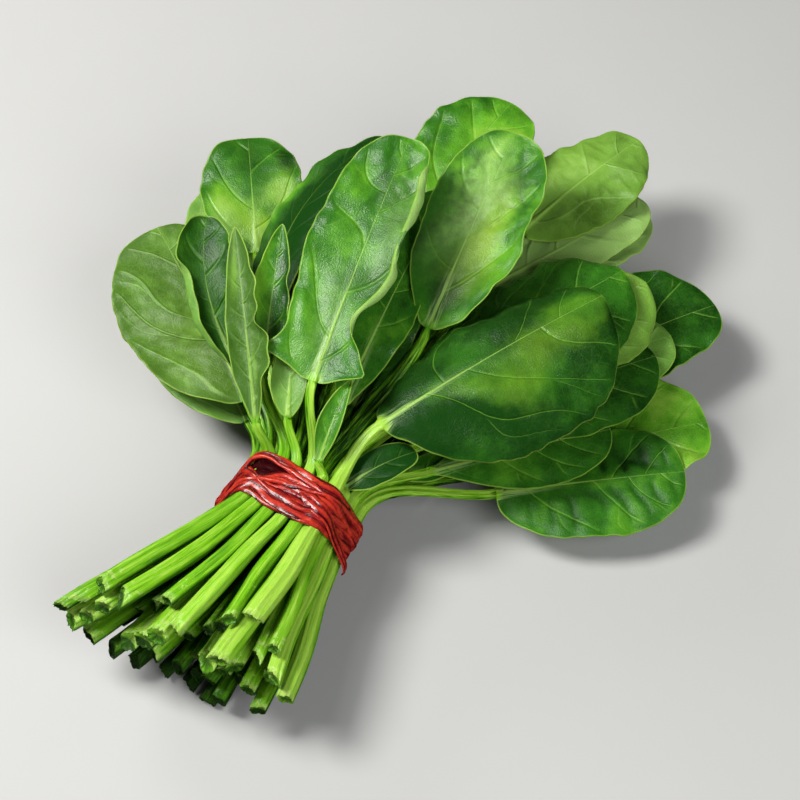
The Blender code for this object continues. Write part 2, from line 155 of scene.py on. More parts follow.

# base and tip: heading in degrees, reach from the tie and height in mm; half: left and right half width in mm
# cup and roll: degrees that the edges curl up and that the whole blade tips; arch and bend: mm of its bow up
# and sideways
# waist: how much narrower the left and the right are at waistAt
# curl: how far the outer part of an edge folds over, from curlFrom outwards and within curlSpan
# panel: mm from vein to vein; relief, hills, pebbles and wave: mm of the panels, of broad and of small bumps,
# and of the edge's waves; crinkle: depth of the creases at crinkleAt: where along, how far along, how far out
# under: its pale side shows; light and yellow: shifts of its green, where light also holds painted light and
# painted shade; pale: how much lighter its other side is
# veins: how plainly they show; wander: how much they stray; dull: added roughness
# neckShade: painted shade added to the tone of its stalk past the tie, darker below 0, lighter above
# spots are soft patches: where along and across, size, light, yellow; their light is partly the leaf's own
# tone and partly painted light and painted shadow
# bloom patches are pale patches of painted sheen, and matte patches are dull ones: where along and across,
# size, strength
leaves = {
    (7, 0): dict(base=(55, 26, 60), tip=(38, 95, 90), half=(8, 10), roll=-15, cup=(30, 70), form="lance",
                 under=1, light=-1.7, yellow=0.2, relief=1.2, crinkle=1.4, crinkleAt=(0.5, 1.0, 1.2),
                 hills=1.6, wave=2.2, wander=0.5, veins=0.4,
                 spots=((0.62, -0.6, 0.25, -3.5, 0), (0.25, 0.7, 0.22, -2.5, 0),
                        (0.80, 0.6, 0.15, 1.6, 0.3), (0.35, -0.3, 0.12, 1.2, 0.2))),
    (7, 1): dict(base=(39, 46, 60), tip=(27, 97, 86), half=(9, 9), cup=(45, 55), form="lance", light=0.1,
                 wave=1.6, crinkle=0.6, spots=((0.5, 1, 0.4, 1.2, 0.4), (0.5, -0.7, 0.3, -2.0, 0))),
    (7, 2): dict(base=(28, 26, 58), tip=(24, 52, 68), half=(7, 7), cup=(20, 20), form="oval", under=1),
    (7, 3): dict(base=(11, 35, 70), tip=(5, 134, 102), half=(21, 19.5), roll=4, cup=(8, 32), form="arrow",
                 waist=(0, 0.42), curl=(0, 128), curlSpan=(0.14, 0.97), relief=1.1, panel=27, crinkle=1.7,
                 crinkleAt=(0.80, 0.17, 0.3), hills=1.0, light=0.2, pale=2.2, veins=0.7, neckShade=-1.0,
                 wander=0.25, spots=((0.80, -0.05, 0.10, -0.8, 0), (0.15, -0.5, 0.15, 0.5, 0)),
                 bloom=((0.62, -0.40, 0.18, 0.35), (0.25, 0.1, 0.16, 0.3))),
    (7, 4): dict(base=(-24, 14, 53), tip=(-8, 42, 69), half=(6, 5), cup=(60, 60), form="lance", light=0.5,
                 neckShade=-0.5),
    (7, 5): dict(base=(-30, 41, 56), tip=(-33, 141, 68), half=(27, 42), cup=(-50, -40), form="paddle",
                 waist=(0, 0.35), waistAt=0.0, neckShade=0.3, panel=30, relief=0.8, hills=1.1, light=-1.3,
                 wander=0.22, veins=0.8,
                 spots=((0.30, -0.15, 0.14, 0.8, 0.2), (0.45, -0.20, 0.15, 0.8, 0.25),
                        (0.62, -0.25, 0.15, 0.8, 0.25), (0.78, -0.25, 0.14, 0.7, 0.3),
                        (0.12, -0.6, 0.20, -1.0, 0), (0.35, -0.62, 0.12, -0.8, 0),
                        (0.90, 0.1, 0.20, 1.0, 0.3), (0.25, 0.15, 0.14, 0.7, 0.1)),
                 matte=((0.12, -0.50, 0.25, 0.9), (0.42, -0.60, 0.18, 0.6))),
    (6, 0): dict(base=(46, 58, 52), tip=(42, 116, 74), half=(14, 14), cup=(50, 50), bend=6, form="oval",
                 light=-1.0, yellow=0.1, curl=(95, 0), curlFrom=0.62, curlSpan=(0.0, 0.75), relief=0.3,
                 veins=0.35, pale=1.2, matte=((0.3, -0.4, 0.3, 0.7),)),
    # painted shade darkens this leaf, with a painted lit strip along its left edge
    (6, 1): dict(base=(34, 74, 50), tip=(12, 156, 74), half=(15, 15), roll=-42, cup=(20, -30), bend=12,
                 form="oval", light=-1.7, relief=0.2, veins=0.1,
                 spots=((0.6, 0.95, 0.25, 2.6, 0.2), (0.6, -0.5, 0.5, -1.5, 0)),
                 matte=((0.4, -0.4, 0.5, 0.9),)),
    # this leaf, (5, 2), (4, 2) and (4, 4) lie deep in the bunch and are darkened with painted shade, blade
    # and stalk
    (6, 2): dict(base=(18, 60, 46), tip=(15, 142, 58), half=(15, 15), cup=(10, 10), form="oval", light=-1.3,
                 neckShade=-3),
    (6, 3): dict(base=(-4.5, 38, 56), tip=(0, 143, 65), half=(15, 12), roll=10, cup=(20, 0), form="oval",
                 light=0.1, relief=1.0, panel=22, crinkle=0.8),
    (6, 4): dict(base=(-12.5, 86, 56.5), tip=(-6.5, 169, 84), half=(20, 25), roll=5, cup=(12, 40),
                 form="oval", relief=1.1, panel=27, crinkle=1.3, crinkleAt=(0.68, 0.28, 0.9), pebbles=0.15,
                 wave=0.7, light=0.3, wander=0.25, veins=0.5, neckShade=-2.5,
                 spots=((0.48, -0.20, 0.26, 1.1, 1.0), (0.12, 0.0, 0.22, -2.4, 0),
                        (0.85, 0.2, 0.15, 0.8, 0.2), (0.30, 0.9, 0.22, -1.6, 0),
                        (0.65, 0.7, 0.2, 0.6, 0.1)),
                 bloom=((0.72, 0.15, 0.22, 0.75), (0.50, 0.40, 0.18, 0.6)),
                 matte=((0.06, -0.4, 0.14, 0.9), (0.25, 0.8, 0.25, 0.6))),
    (6, 5): dict(base=(-25, 74, 46), tip=(-28, 163, 54), half=(30, 30), cup=(-40, -40), form="spoon",
                 light=-0.4, panel=24, relief=0.9),
    (6, 6): dict(base=(-52, 21, 42), tip=(-45, 50, 47), half=(8, 9), cup=(10, 30), form="oval", light=-2.0,
                 veins=0.2, matte=((0.5, 0, 1.0, 0.8),)),
    (5, 0): dict(base=(46, 52, 37), tip=(49, 139, 48), half=(32, 27), cup=(-5, -15), form="oval", under=1,
                 panel=22, relief=1.2, crinkle=0.8, crinkleAt=(0.5, 0.6, 1.2), hills=1.5, light=-1.9,
                 yellow=0.3, dull=0.05, wander=0.4,
                 spots=((0.35, 0.4, 0.25, 0.6, 0.2), (0.95, 0, 0.25, 0.8, 0))),
    (5, 1): dict(base=(33, 112, 51), tip=(32, 163.5, 62), half=(21, 21), cup=(5, 5), form="oval",
                 light=-0.2, yellow=0.1, relief=0.4, panel=24, wander=0.25, veins=0.7,
                 spots=((0.85, 0, 0.22, -0.7, 0), (0.75, -0.8, 0.12, -1.6, 0), (0.40, 0.5, 0.22, 1.2, 0.5),
                        (0.48, -0.6, 0.16, 1.4, 0.6), (0.15, 0, 0.25, 1.3, 0.7)),
                 bloom=((0.30, 0.5, 0.16, 0.6), (0.45, -0.6, 0.12, 0.5)), matte=((0.75, 0, 0.25, 0.5),)),
    (5, 2): dict(base=(19, 60, 40), tip=(18, 142, 43), half=(12, 11), arch=0.5, form="oval", light=-1,
                 neckShade=-3),
    (5, 3): dict(base=(3, 138, 52), tip=(-1, 203, 60), half=(24, 24), form="oval", light=1.1, relief=1.2,
                 neckShade=-3,
                 spots=((0.25, -0.7, 0.25, -1.8, 0), (0.6, 0.9, 0.3, -1.2, 0), (0.7, -0.4, 0.3, 0.4, 0.2))),
    (5, 4): dict(base=(-11, 155, 44), tip=(-15, 221, 51), half=(21, 21), cup=(-20, -25), form="oval",
                 under=1, light=-0.3, yellow=0.35, relief=1.3, panel=30, hills=1.8, crinkle=0.7,
                 crinkleAt=(0.5, 0.5, 1.0), wander=0.22, veins=0.6, dull=-0.06, neckShade=-2.5,
                 spots=((0.55, 0.6, 0.3, 1.2, 0.2), (0.4, -0.7, 0.3, -1.0, 0))),
    (5, 5): dict(base=(-27, 94, 40), tip=(-30, 171, 46), half=(27, 27), cup=(-35, -35), form="spoon",
                 under=1, yellow=0.35, light=-0.3),
    (5, 6): dict(base=(-36, 78, 32), tip=(-39, 159, 35), half=(25, 22), roll=3, cup=(-30, -30),
                 form="spoon", light=-0.7, relief=0.9),
    (5, 7): dict(base=(-45, 56, 30), tip=(-47, 130, 27), half=(17, 17), roll=6, cup=(-20, -20), arch=1,
                 form="spoon", light=-0.1),
    (4, 0): dict(base=(47, 50, 26), tip=(51, 128, 34), half=(23, 18), cup=(-5, -5), form="oval", under=1,
                 light=0.3),
    (4, 1): dict(base=(36, 92, 35), tip=(37, 157, 42), half=(20, 20), cup=(5, 5), form="oval", under=1,
                 light=0.6),
    (4, 2): dict(base=(21, 56, 31), tip=(22, 116, 31), half=(12, 11), arch=0.5, form="spoon", light=-1,
                 neckShade=-3),
    (4, 4): dict(base=(1, 54, 30), tip=(1, 116, 29.5), half=(10, 10), arch=0.5, form="spoon", light=-1,
                 neckShade=-3),
    (4, 5): dict(base=(-12, 130, 36), tip=(-20, 204, 40), half=(20, 15), cup=(-15, -20), arch=1,
                 form="oval", under=1, light=2.8, relief=1.2),
    (4, 6): dict(base=(-33, 108, 27), tip=(-36, 172, 30), half=(20, 18), roll=3, cup=(-15, -15),
                 form="spoon", under=1),
    (4, 7): dict(base=(-42, 46, 28), tip=(-40, 74, 25), half=(6, 6), roll=5, cup=(-10, -10), arch=0,
                 form="oval"),
    (4, 8): dict(base=(-53, 80, 18), tip=(-56, 154, 21), half=(23, 24), roll=5, cup=(-10, -10), arch=1,
                 form="round", relief=0.45, panel=22, crinkle=1.8, crinkleAt=(0.6, 0.40, 0.7), hills=1.5,
                 wave=0.5, light=0.1, wander=0.35, dull=0.12, matte=((0.45, 0, 0.6, 0.5),)),
    (3, 0): dict(base=(44, 56, 16), tip=(47, 124, 15), half=(19, 15), form="oval", light=-0.5),
    (3, 5): dict(base=(-15, 140, 26), tip=(-19, 208, 29), half=(19, 18), form="oval", under=1, light=2.8,
                 relief=1.2),
    (3, 6): dict(base=(-31, 134, 20.8), tip=(-34, 199, 25), half=(28, 22), form="oval", light=-1.2,
                 relief=0.8),
    (3, 7): dict(base=(-46, 118, 10), tip=(-48, 171, 17), half=(26, 23), cup=(10, 10), form="oval",
                 light=0.5, spots=((0.6, 1.0, 0.5, 1.2, 0.3), (0.6, -1.0, 0.5, 1.2, 0.3))),
    (2, 0): dict(base=(33, 56, 16.5), tip=(35, 112, 14), half=(12, 10), roll=-8, arch=0.5, form="spoon"),
}


def unit(vector):
    return vector / np.linalg.norm(vector)


def smooth(value, low, high):
    share = np.clip((value - low) / (high - low), 0, 1)
    return share * share * (3 - 2 * share)


def polar(heading, reach, height):
    angle = math.radians(heading)
    return mm * np.array([reach * math.cos(angle), reach * math.sin(angle), height])


def wobble(row, column, turn):
    return math.sin(12.9898 * (row + 1) + 78.233 * (column + 1) + 37.719 * turn)


def swell(x, y, seed):
    # soft hills about one unit across, from -1 to 1
    dice = np.random.default_rng(seed)
    angles, starts, paces = (dice.uniform(low, high, 6) for low, high in ((0, 6.28), (0, 6.28), (2, 4.5)))
    total = np.zeros(np.broadcast(x, y).shape)
    for angle, start, pace in zip(angles, starts, paces):
        total += np.sin(pace * (x * math.cos(angle) + y * math.sin(angle)) + start)
    return total / 3.2


def slotOf(row, column):
    across = ((bunch["rows"][row] - 1) / 2 - column) * bunch["pitch"]
    return np.array([0, across, tieHeight + row * rowPitch - halfStack])


def layerHeight(level, heading):
    fallen = dome["drop"] * (abs(heading) / dome["edge"]) ** dome["roundness"]
    return dome["lowest"] + dome["rise"] * level * (1 - fallen)


def hiddenLeaf(row, column):
    vary = dome["vary"]
    heading = dome["fan"][row] * slotOf(row, column)[1] / bunch["pitch"]
    heading = heading + vary["heading"] * wobble(row, column, 1)
    upper = (row + column) % 2
    level = row + dome["lift"] * upper
    neck = dome["necks"][upper] + vary["neck"] * wobble(row, column, 2)
    length = dome["lengths"][upper] + vary["length"] * wobble(row, column, 3)
    wide = dome["halves"][upper] + wobble(row, column, 4)
    height = layerHeight(level, heading)
    further = 6  # degrees, to find how steeply the dome falls there
    run = polar(further, 0.7 * neck + length / 2, 0)[1]
    fall = (layerHeight(level, abs(heading) + further) - height) / run
    return dict(
        base=(heading, neck, height / mm),
        tip=(heading * dome["widening"], neck + length, height / mm),
        half=(wide, wide),
        arch=dome["arch"],
        roll=math.degrees(math.atan(fall)) * math.copysign(1, heading),
        form="spoon",
        plain=True,
    )


def footPoint(row, column, share):
    slot = slotOf(row, column)
    scale = bunch["footShare"].get((row, column), 1 + bunch["footVary"] * wobble(row, column, 5))
    length = scale * bunch["footLength"] * share
    spread = (length / bunch["footLength"]) ** bunch["footBend"]
    swing = bunch["footSwing"] + bunch["footScatter"] * wobble(row, column, 6)
    across = slot[1] + spread * (bunch["footSpread"] * slot[1] + swing)
    height = tieHeight + (slot[2] - tieHeight) * (1 + bunch["footRise"] * min(spread, 1))
    return np.array([-bunch["tieHalf"] - length, across, height])


def ribPoint(leaf, share):
    base, tip = polar(*leaf["base"]), polar(*leaf["tip"])
    chord = tip - base
    side = unit(np.cross(upward, chord))
    bow = unit(np.cross(chord, side)) * leaf.get("arch", 3) * mm
    bend = side * leaf.get("bend", 0) * mm
    return base + chord * share + 4 * share * (1 - share) * (bow + bend)


def neckPoint(row, column, leaf, share):
    start = slotOf(row, column) + forward * bunch["tieHalf"]
    end = ribPoint(leaf, 0)
    span = np.linalg.norm(end - start)
    aim = unit(ribPoint(leaf, 0.02) - end)
    handles = [min(part * span, bunch["longestHandle"]) for part in bunch["handles"]]
    first = start + forward * handles[0]
    second = end - aim * handles[1]
    rest = 1 - share
    return rest**3 * start + 3 * rest**2 * share * first + 3 * rest * share**2 * second + share**3 * end


def halfWidth(form, share):
    rising = np.sin(math.pi / 2 * np.clip(share / form["widest"], 0, 1)) ** form["base"]
    late = np.clip((share - form["widest"]) / (1 - form["widest"]), 0, 1)
    grown = np.where(share < form["widest"], rising, (1 - late ** form["blunt"]) ** (1 / form["blunt"]))
    lobe = np.exp(-(np.abs((share - lobeShape["at"]) / lobeShape["reach"]) ** lobeShape["power"]))
    return grown + form["lobe"] * lobe * smooth(share, 0, lobeShape["at"])


# how finely each kind of leaf is divided, across the blade and along its parts
broadLeaf = dict(across=44, cut=5, foot=18, tie=4, neck=20, base=16, middle=68, tip=14)
narrowLeaf = dict(across=28, cut=5, foot=18, tie=4, neck=18, base=14, middle=46, tip=12)
plainLeaf = dict(across=16, cut=5, foot=16, tie=3, neck=12, base=7, middle=26, tip=7)


def detailOf(leaf):
    if leaf.get("plain"):
        return plainLeaf
    return broadLeaf if max(leaf["half"]) > 13 else narrowLeaf


def stations(row, column, leaf, fine):
    # each section's centre, roll, stalk radius and share of the blade, which is -1 on the stalk
    roll = math.radians(leaf.get("roll", 0))
    line = []
    stout = bunch["cutRadius"] * (1 + bunch["thickness"] * wobble(row, column, 7))
    for share in np.linspace(1, 0, fine["foot"] + 1)[:-1]:
        radius = np.interp(share, (0, 0.5, 1), (bunch["tieRadius"], stout, stout))
        line.append((footPoint(row, column, share), 0, radius, -1))
    for end in np.linspace(-1, 1, fine["tie"]):
        line.append((slotOf(row, column) + forward * bunch["tieHalf"] * end, 0, bunch["tieRadius"], -1))
    radii = [bunch[name] for name in ("tieRadius", "neckRadius", "baseRadius", "baseRadius")]
    for share in np.linspace(0, 1, fine["neck"] + 1)[1:-1]:
        radius = np.interp(share, (0, 0.4, 0.75, 1), radii)
        line.append((neckPoint(row, column, leaf, share), roll * share, radius, -1))
    shares = [
        0.1 * np.linspace(0, 1, fine["base"]) ** 2,
        np.linspace(0.1, 0.9, fine["middle"] + 1)[1:],
        0.9 + 0.1 * np.sin(np.linspace(0, math.pi / 2, fine["tip"] + 1)[1:]),
    ]
    thinning = bunch["baseRadius"] - bunch["tipRadius"]
    for share in np.concatenate(shares):
        radius = bunch["tipRadius"] + thinning * (1 - share) ** bunch["ribTaper"]
        line.append((ribPoint(leaf, share), roll, radius, share))
    return line


# what every blade has; a length here says how broad the bumps, creases, waves or patches are
blade = dict(
    sheet=0.25 * mm,  # half its thickness
    joins=0.05,  # the share over which the stalk flattens into the blade
    gather=0.08,  # how much closer the points lie at the rib and the edges
    ribSunk=(0.1, 0.6),  # how much less the rib stands out below and above
    clear=6 * mm,  # the sheet is smooth this near to the rib and the edge
    waistReach=0.09,
    ragged=((0.035, 16 * mm), (0.014, 4 * mm)),  # the outline's own bumps, as shares of the half width
    curl=dict(at=0.72, wide=0.2, stray=0.03, length=18 * mm, start=0.12, end=0.15),
    rake=0.75,  # how much the side veins lean forward, and how much more they do towards the edge
    offset=(0.12, 0.55),  # of the first vein on the left and on the right, in panels
    wander=26 * mm,
    uneven=22 * mm,
    fork=dict(start=0.38, end=0.9, depth=0.35, wide=0.3),
    hills=dict(length=20 * mm, rise=12 * mm),
    creases=(7 * mm, 5 * mm),
    pebbles=3.4 * mm,
    waves=(27 * mm, 11 * mm),
    patches=24 * mm,
)


def axesOf(centres, rolls):
    # the way along the leaf, the sheet's left and its up, at each section
    tangent = np.gradient(centres, axis=0)
    tangent /= np.linalg.norm(tangent, axis=1)[:, None]
    side = np.cross(upward, tangent)
    side /= np.linalg.norm(side, axis=1)[:, None]
    lift = np.cross(tangent, side)
    return tangent, side * np.cos(rolls) + lift * np.sin(rolls), lift * np.cos(rolls) - side * np.sin(rolls)


def gridOf(row, column, leaf, fine):
    # arrays with a row for each section and a column for each point across: v from -1 to 1, q in metres
    g = SimpleNamespace(row=row, column=column, seed=100 * row + column, top=-1 if leaf.get("under") else 1)
    line = stations(row, column, leaf, fine)
    g.centres = np.array([station[0] for station in line])
    g.rolls, g.radii, shares = (np.array([station[part] for station in line])[:, None] for part in (1, 2, 3))
    steps = np.linalg.norm(np.diff(g.centres, axis=0), axis=1)
    g.far = np.concatenate([[0], np.cumsum(steps)])[:, None]  # metres from the cut end
    g.past = g.far - g.far[np.argmax(shares >= 0)]  # metres past the blade's base
    g.onBlade = (shares >= 0).astype(float)
    g.share = np.clip(shares, 0, 1)
    g.toBlade = smooth(g.share, 0, blade["joins"]) * g.onBlade
    g.onNeck = smooth(g.centres[:, :1] - bunch["tieHalf"], 0, 22 * mm) * (1 - g.toBlade)
    g.v = np.linspace(-1, 1, fine["across"] + 1)[None, :]
    g.isLeft = g.v > 0

    # the outline, and how far each point is from it
    waist = np.where(g.isLeft, *leaf.get("waist", (0, 0)))
    narrowed = waist * np.exp(-(((g.share - leaf.get("waistAt", 0.25)) / blade["waistReach"]) ** 2))
    grown = halfWidth(forms[leaf["form"]], g.share) * g.onBlade * (1 - narrowed)
    g.half = np.where(g.isLeft, *leaf["half"]) * mm * grown
    gathered = g.v - blade["gather"] * np.sin(2 * math.pi * g.v)
    g.spread = g.toBlade * gathered + (1 - g.toBlade) * np.sin(math.pi / 2 * g.v)
    ragged = 0
    for number, (amount, length) in enumerate(blade["ragged"], 7):
        ragged = ragged + amount * swell(g.far / length, np.sign(g.v), g.seed + number)
    g.reach = np.sqrt((g.half * (1 + ragged * g.onBlade)) ** 2 + g.radii**2)
    g.q = g.spread * g.reach
    g.out = np.abs(g.spread)
    outline = np.sqrt(g.half**2 + g.radii**2)
    slopes = [np.gradient(outline[:, edge]) / np.gradient(g.far[:, 0]) for edge in (-1, 0)]
    slope = np.where(g.isLeft, slopes[0][:, None], slopes[1][:, None])
    g.rim = (g.reach - np.abs(g.q)) / np.sqrt(1 + slope**2)
    g.a = g.past * g.onBlade
    g.sideways = np.abs(g.q) / (max(leaf["half"]) * mm)
    offRib = smooth(np.abs(g.q), g.radii, g.radii + blade["clear"])
    g.clear = offRib * smooth(g.rim, 0, blade["clear"]) * g.onBlade
    return g


def curledSection(leaf, g):
    # the section's own shape from the midrib out, and how far the sheet leans at each point
    cup = np.radians(np.where(g.isLeft, *leaf.get("cup", (0, 0))))
    curl = np.radians(np.where(g.isLeft, *leaf.get("curl", (0, 0))))
    shape = blade["curl"]
    start, end = leaf.get("curlSpan", (0.1, 0.9))
    curl = curl * smooth(g.share, start, start + shape["start"])
    curl = curl * (1 - smooth(g.share, end - shape["end"], end))
    stray = shape["stray"] * swell(g.far / shape["length"], 3, g.seed + 9)
    foldAt = leaf.get("curlFrom", shape["at"]) + stray
    bend = (cup * g.out + curl * smooth(g.out, foldAt, foldAt + shape["wide"])) * g.onBlade
    gap = np.abs(np.diff(g.q, axis=1))
    halfway = (bend[:, 1:] + bend[:, :-1]) / 2
    outward = np.sign(g.v[:, 1:] + g.v[:, :-1])
    x = np.concatenate([0 * g.far, np.cumsum(gap * np.cos(halfway), axis=1)], axis=1)
    z = np.concatenate([0 * g.far, np.cumsum(gap * np.sin(halfway) * outward, axis=1)], axis=1)
    middle = g.v.shape[1] // 2
    return x - x[:, middle : middle + 1], z - z[:, middle : middle + 1], bend * np.sign(g.v)


def sideVeins(leaf, g):
    # side veins arch forward and fork; phase counts them, and pace is metres across the veins for each one
    half, rake = max(leaf["half"]) * mm, blade["rake"]
    panel = leaf.get("panel", 9 + 0.45 * half / mm) * mm
    phase = (g.a - half * (rake * g.sideways + rake * g.sideways**2)) / panel
    phase = phase + np.where(g.isLeft, *blade["offset"])
    stray = swell(g.a / blade["wander"], g.q / blade["wander"], g.seed + 2)
    g.phase = phase + 0.12 * np.sin(2.3 * phase + g.seed) + leaf.get("wander", 0.15) * stray
    g.pace = panel / np.sqrt(1 + (rake + 2 * rake * g.sideways) ** 2)
    g.forking = smooth(g.sideways, blade["fork"]["start"], blade["fork"]["end"])
    g.forked = g.phase + 0.5 * g.forking


def sheetHeight(leaf, g):
    # swollen panels between the veins, creases, bumps, broad hills, and waves along the edges
    beat = np.sin(math.pi * g.phase)
    pillow = 0.7 * beat**2 + 0.3 * np.abs(beat) ** 0.6 - 0.5
    fork = np.exp(-((np.sin(math.pi * g.forked) / blade["fork"]["wide"]) ** 2))
    pillow = pillow - blade["fork"]["depth"] * g.forking * fork
    pillow = pillow * (0.9 + 0.5 * swell(g.a / blade["wander"], g.q / blade["uneven"], g.seed + 5))
    height = g.top * leaf.get("relief", 0.9) * mm * pillow * g.clear
    along, across = blade["creases"]
    crease = 1 - np.abs(swell(g.a / along, g.q / across, g.seed + 6))
    at, reach, out = leaf.get("crinkleAt", (0.5, 1.0, 0.55))
    within = np.exp(-(((g.share - at) / reach) ** 2) - (g.sideways / out) ** 2) * g.clear
    g.crinkled = leaf.get("crinkle", 0.2) * crease**3 * within
    height = height - g.top * mm * g.crinkled
    bumps = swell(g.a / blade["pebbles"], g.q / blade["pebbles"], g.seed + 1)
    height = height + leaf.get("pebbles", 0.08) * mm * bumps * g.clear
    length = blade["hills"]["length"]
    hills = swell(g.a / length, g.q / length, g.seed) * g.toBlade
    hills = hills * smooth(np.abs(g.q), 0, blade["hills"]["rise"])
    height = height + leaf.get("hills", 0.8) * mm * hills
    long, short = blade["waves"]
    wave = np.sin(2 * math.pi * g.a / long + 2 * wobble(g.row, g.column, 9) + 1.3 * np.sign(g.v))
    wave = wave + 0.6 * np.sin(2 * math.pi * g.a / short + 5 * wobble(g.row, g.column, 8) + np.sign(g.v))
    wave = wave * g.out**3 * g.toBlade * smooth(g.reach, 4 * mm, 12 * mm)
    return height + leaf.get("wave", 0.9) * mm * wave


def leafPoints(leaf, g):
    # the upper side from right to left and the lower side back again, for each section
    tangent, side, lift = axesOf(g.centres, g.rolls)
    x, z, tilt = curledSection(leaf, g)
    sideVeins(leaf, g)
    height = sheetHeight(leaf, g)
    edge = np.clip(g.rim / blade["sheet"], 0, 1)
    sheet = blade["sheet"] * np.sqrt(edge * (2 - edge))
    rod = np.sqrt(np.clip(g.radii**2 - g.q**2, 0, None))
    less, more = blade["ribSunk"][:: g.top]
    upper = np.where(g.onBlade > 0, np.maximum(sheet, rod * (1 - more * g.toBlade)), rod)
    lower = np.where(g.onBlade > 0, np.maximum(sheet, rod * (1 - less * g.toBlade)), rod)
    sweep = forms[leaf["form"]]["sweep"] * np.exp(-((g.share / lobeShape["sweepReach"]) ** 2))
    back = sweep * g.half * g.out**1.5
    squeeze = bunch["oval"] * (1 + wobble(g.row, g.column, 10))
    lean = 3 * wobble(g.row, g.column, 11)
    lumps = bunch["lumps"] * swell(g.far / bunch["lumpLength"], 0 * g.v, g.seed + 3)
    broadened = bunch["broad"] * g.onNeck
    channel = bunch["channel"] * g.onNeck

    def placed(level):
        across = x - np.sin(tilt) * (height + level)
        along = z + np.cos(tilt) * (height + level)
        angle = np.arctan2(along, across)
        ridge = np.sin(4 * angle + g.seed) + 0.6 * np.sin(7 * angle + 2 * g.seed)
        ridge = bunch["ridges"] * (ridge + 0.2 * np.sin(12 * angle + g.seed))
        ridge = 1 + (ridge + squeeze * np.cos(2 * (angle - lean)) + lumps) * (1 - g.toBlade)
        across, along = across * ridge, along * ridge
        hollow = channel * np.exp(-((across / (0.5 * g.radii)) ** 2)) * (along > 0)
        across, along = across * (1 + broadened), along * (1 - 0.6 * broadened) - hollow * g.radii
        points = g.centres[:, None, :] + side[:, None, :] * across[:, :, None]
        return points + lift[:, None, :] * along[:, :, None] - tangent[:, None, :] * back[:, :, None]

    over, below = placed(upper), placed(-lower)
    bends = [swell(g.far / bunch["swayLength"], number, g.seed + 4) for number in (1, 2)]
    bendy = np.stack([0 * g.far, bends[0], 0.4 * bends[1]], axis=-1)
    free = smooth(-g.centres[:, :1, None] - bunch["tieHalf"] - 4 * mm, 0, 30 * mm)
    return np.concatenate([over, below[:, -2:0:-1]], axis=1) + bendy * bunch["sway"] * free


def patch(a, v, size, wide):
    # 1 in its middle, and less and less around it
    return np.exp(-((a / size) ** 2) - (v / (wide * size)) ** 2)


def leafFacts(leaf, g):
    # what the material needs to know at each point
    length = blade["patches"]
    strayA = g.share + 0.05 * swell(g.a / length, g.q / length, g.seed + 11)
    strayV = g.spread + 0.20 * swell(g.a / length, g.q / length, g.seed + 12)
    # painted shade: the blade is darker in its creases
    light = leaf.get("light", 0) - 1.3 * g.crinkled
    yellow = np.full_like(g.q, leaf.get("yellow", 0))
    for along, across, size, lighter, yellower in leaf.get("spots", ()):
        near = patch(strayA - along, strayV - across, size, 1.5) * g.onBlade
        light = light + lighter * near
        yellow = yellow + yellower * near
    pale = dict(bloom=0 * g.q, matte=0 * g.q)
    for key in pale:
        for along, across, size, strength in leaf.get(key, ()):
            pale[key] = pale[key] + strength * patch(strayA - along, strayV - across, size, 2)
    nearBlade = np.exp(-((g.past / (22 * mm)) ** 2)) + 0 * g.q

    # painted shade: the stalks are darker low in the bunch, on their flanks and on their undersides, and
    # painted light makes them lighter to the right; on top of that their tone differs at random
    neckShade = leaf.get("neckShade", -2.2 if leaf.get("plain") else -1.2)
    stalkTone = 1.2 * wobble(g.row, g.column, 12) + 1.4 * min(0, g.row - 4) - 2.2 * np.abs(g.v) ** 4
    stalkTone = stalkTone + neckShade * g.onNeck + 2.6 * max(0, g.column / (bunch["rows"][g.row] - 1) - 0.4)
    onStalk = (1 - g.toBlade) * (1 - smooth(np.abs(g.q), 1.1 * g.radii, 2.2 * g.radii))

    def ring(values, other=None):
        # round the section: the upper side's values, then the lower side's
        values = np.broadcast_to(values, g.q.shape)
        other = values if other is None else np.broadcast_to(other, g.q.shape)
        return np.concatenate([values, other[:, -2:0:-1]], axis=1)

    facts = dict(
        leafSpot=(ring(g.far / mm), ring(g.q / mm, 60 - g.q / mm), ring(40.0 * (g.seed % 97))),
        leafVein=(ring(g.phase), ring(g.pace / mm), ring(g.rim / mm)),
        leafFork=(ring(g.forked), ring(g.forking), ring(np.abs(g.q) / mm)),
        leafForm=(ring(onStalk), ring(g.radii / mm), ring(g.top > 0, g.top < 0)),
        # the stalks' undersides take the lowest tone of the section, a painted shade
        leafTone=(ring(light, light + leaf.get("pale", 0)), ring(yellow), ring(stalkTone, stalkTone.min())),
        leafEnd=(ring(0), ring(g.share * g.onBlade), ring(leaf.get("veins", 1.0))),
        leafSkin=(
            ring(leaf.get("dull", 0.0)),
            ring(np.where(g.onBlade > 0, np.clip(pale["matte"], 0, 1), nearBlade)),
            ring(np.where(g.onBlade > 0, pale["bloom"], g.onNeck)),
        ),
    )
    return {name: np.stack(parts, axis=-1).astype(float) for name, parts in facts.items()}


cutLook = dict(slant=0.35, mostSlant=2.5 * mm, ragged=0.55 * mm, hollow=0.8 * mm, inner=0.15, outer=0.93)


